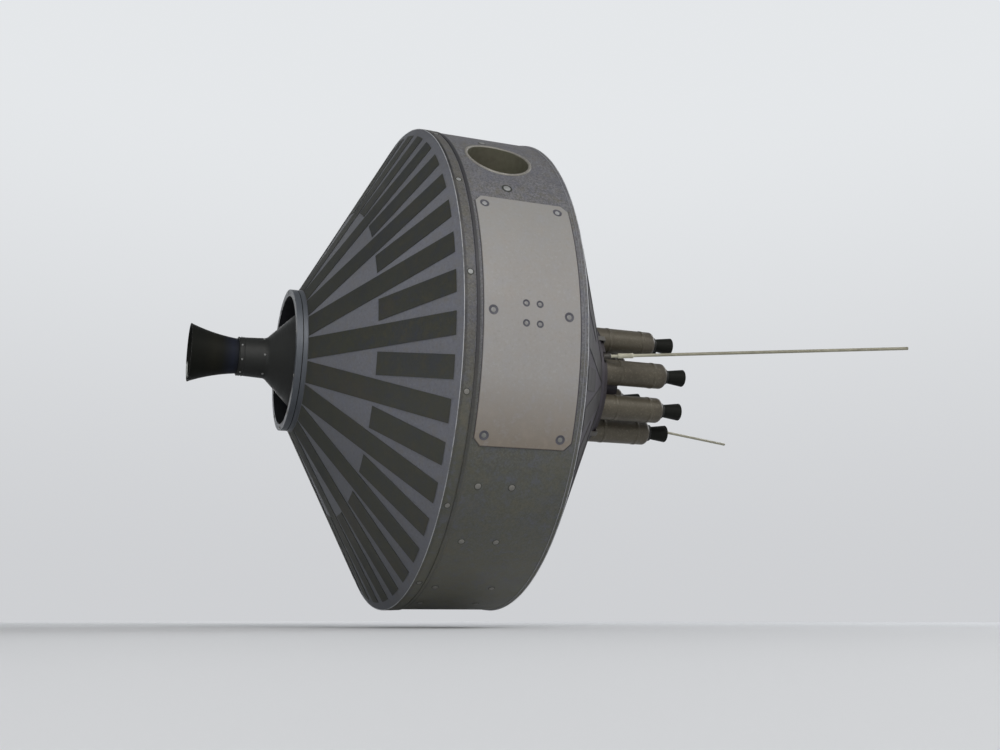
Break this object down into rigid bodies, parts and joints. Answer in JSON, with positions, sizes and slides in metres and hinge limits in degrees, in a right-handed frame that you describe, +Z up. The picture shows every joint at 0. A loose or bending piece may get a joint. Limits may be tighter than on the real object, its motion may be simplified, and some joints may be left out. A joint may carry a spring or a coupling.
{
  "type": "spin-stabilised lunar probe",
  "caption": "Drum-shaped spin-stabilised space probe with striped cones, front retro nozzle, releasable ring of small aft motors and two rod antennas.",
  "frame": {"origin": "on the spin axis at the mid-plane of the drum", "axes": "+X along the spin axis towards the aft end with the small motors and antenna rods, +Z up, the access panel faces -Y"},
  "size_m": [1.0787, 0.741, 0.74],
  "materials": {
    "drum_skin": "speckled blue-grey paint on laminated plastic",
    "front_band": "grey-brown band",
    "aft_band": "pale blue-grey band",
    "access_panel": "matt warm white plate",
    "port_inside": "matt black",
    "bright_trim": "satin bright metal",
    "cone_skin": "pale blue-grey paint",
    "stripe": "dark grey strip",
    "ring_metal": "satin ring",
    "dark_ring": "dark ring",
    "motor_black": "satin black",
    "nozzle_black": "soot black",
    "vernier_plate": "dark plate",
    "vernier_case": "tan case",
    "antenna_foot": "dark insulator",
    "antenna_rod": "ivory rod"
  },
  "bodies": {
    "probe": {"drum_shell": "drum_skin", "front_band": "front_band", "drum_bead": "front_band", "aft_band": "aft_band", "access_panel": "access_panel", "port_barrel": "port_inside", "port_rim": "bright_trim", "front_cone": "cone_skin", "aft_cone": "cone_skin", "front_long_stripes": "stripe", "front_short_stripes": "stripe", "aft_long_stripes": "stripe", "aft_short_stripes": "stripe", "front_ring": "ring_metal", "aft_ring": "dark_ring", "motor_case": "motor_black", "motor_dome": "motor_black", "nozzle_bell": "nozzle_black", "aft_deck": "dark_ring", "antenna_foot_near": "antenna_foot", "antenna_foot_far": "antenna_foot", "antenna_rod_near": "antenna_rod", "antenna_rod_far": "antenna_rod"},
    "vernier_ring": {"vernier_plate": "vernier_plate", "vernier_clips": "bright_trim", "vernier_case_1": "vernier_case", "vernier_case_2": "vernier_case", "vernier_case_3": "vernier_case", "vernier_case_4": "vernier_case", "vernier_case_5": "vernier_case", "vernier_case_6": "vernier_case", "vernier_case_7": "vernier_case", "vernier_case_8": "vernier_case", "vernier_nozzle_1": "nozzle_black", "vernier_nozzle_2": "nozzle_black", "vernier_nozzle_3": "nozzle_black", "vernier_nozzle_4": "nozzle_black", "vernier_nozzle_5": "nozzle_black", "vernier_nozzle_6": "nozzle_black", "vernier_nozzle_7": "nozzle_black", "vernier_nozzle_8": "nozzle_black"}
  },
  "joints": [
    {"name": "vernier_release", "type": "slide", "parent": "probe", "child": "vernier_ring", "axis": [1, 0, 0], "range_m": [0, 0.04]}
  ]
}
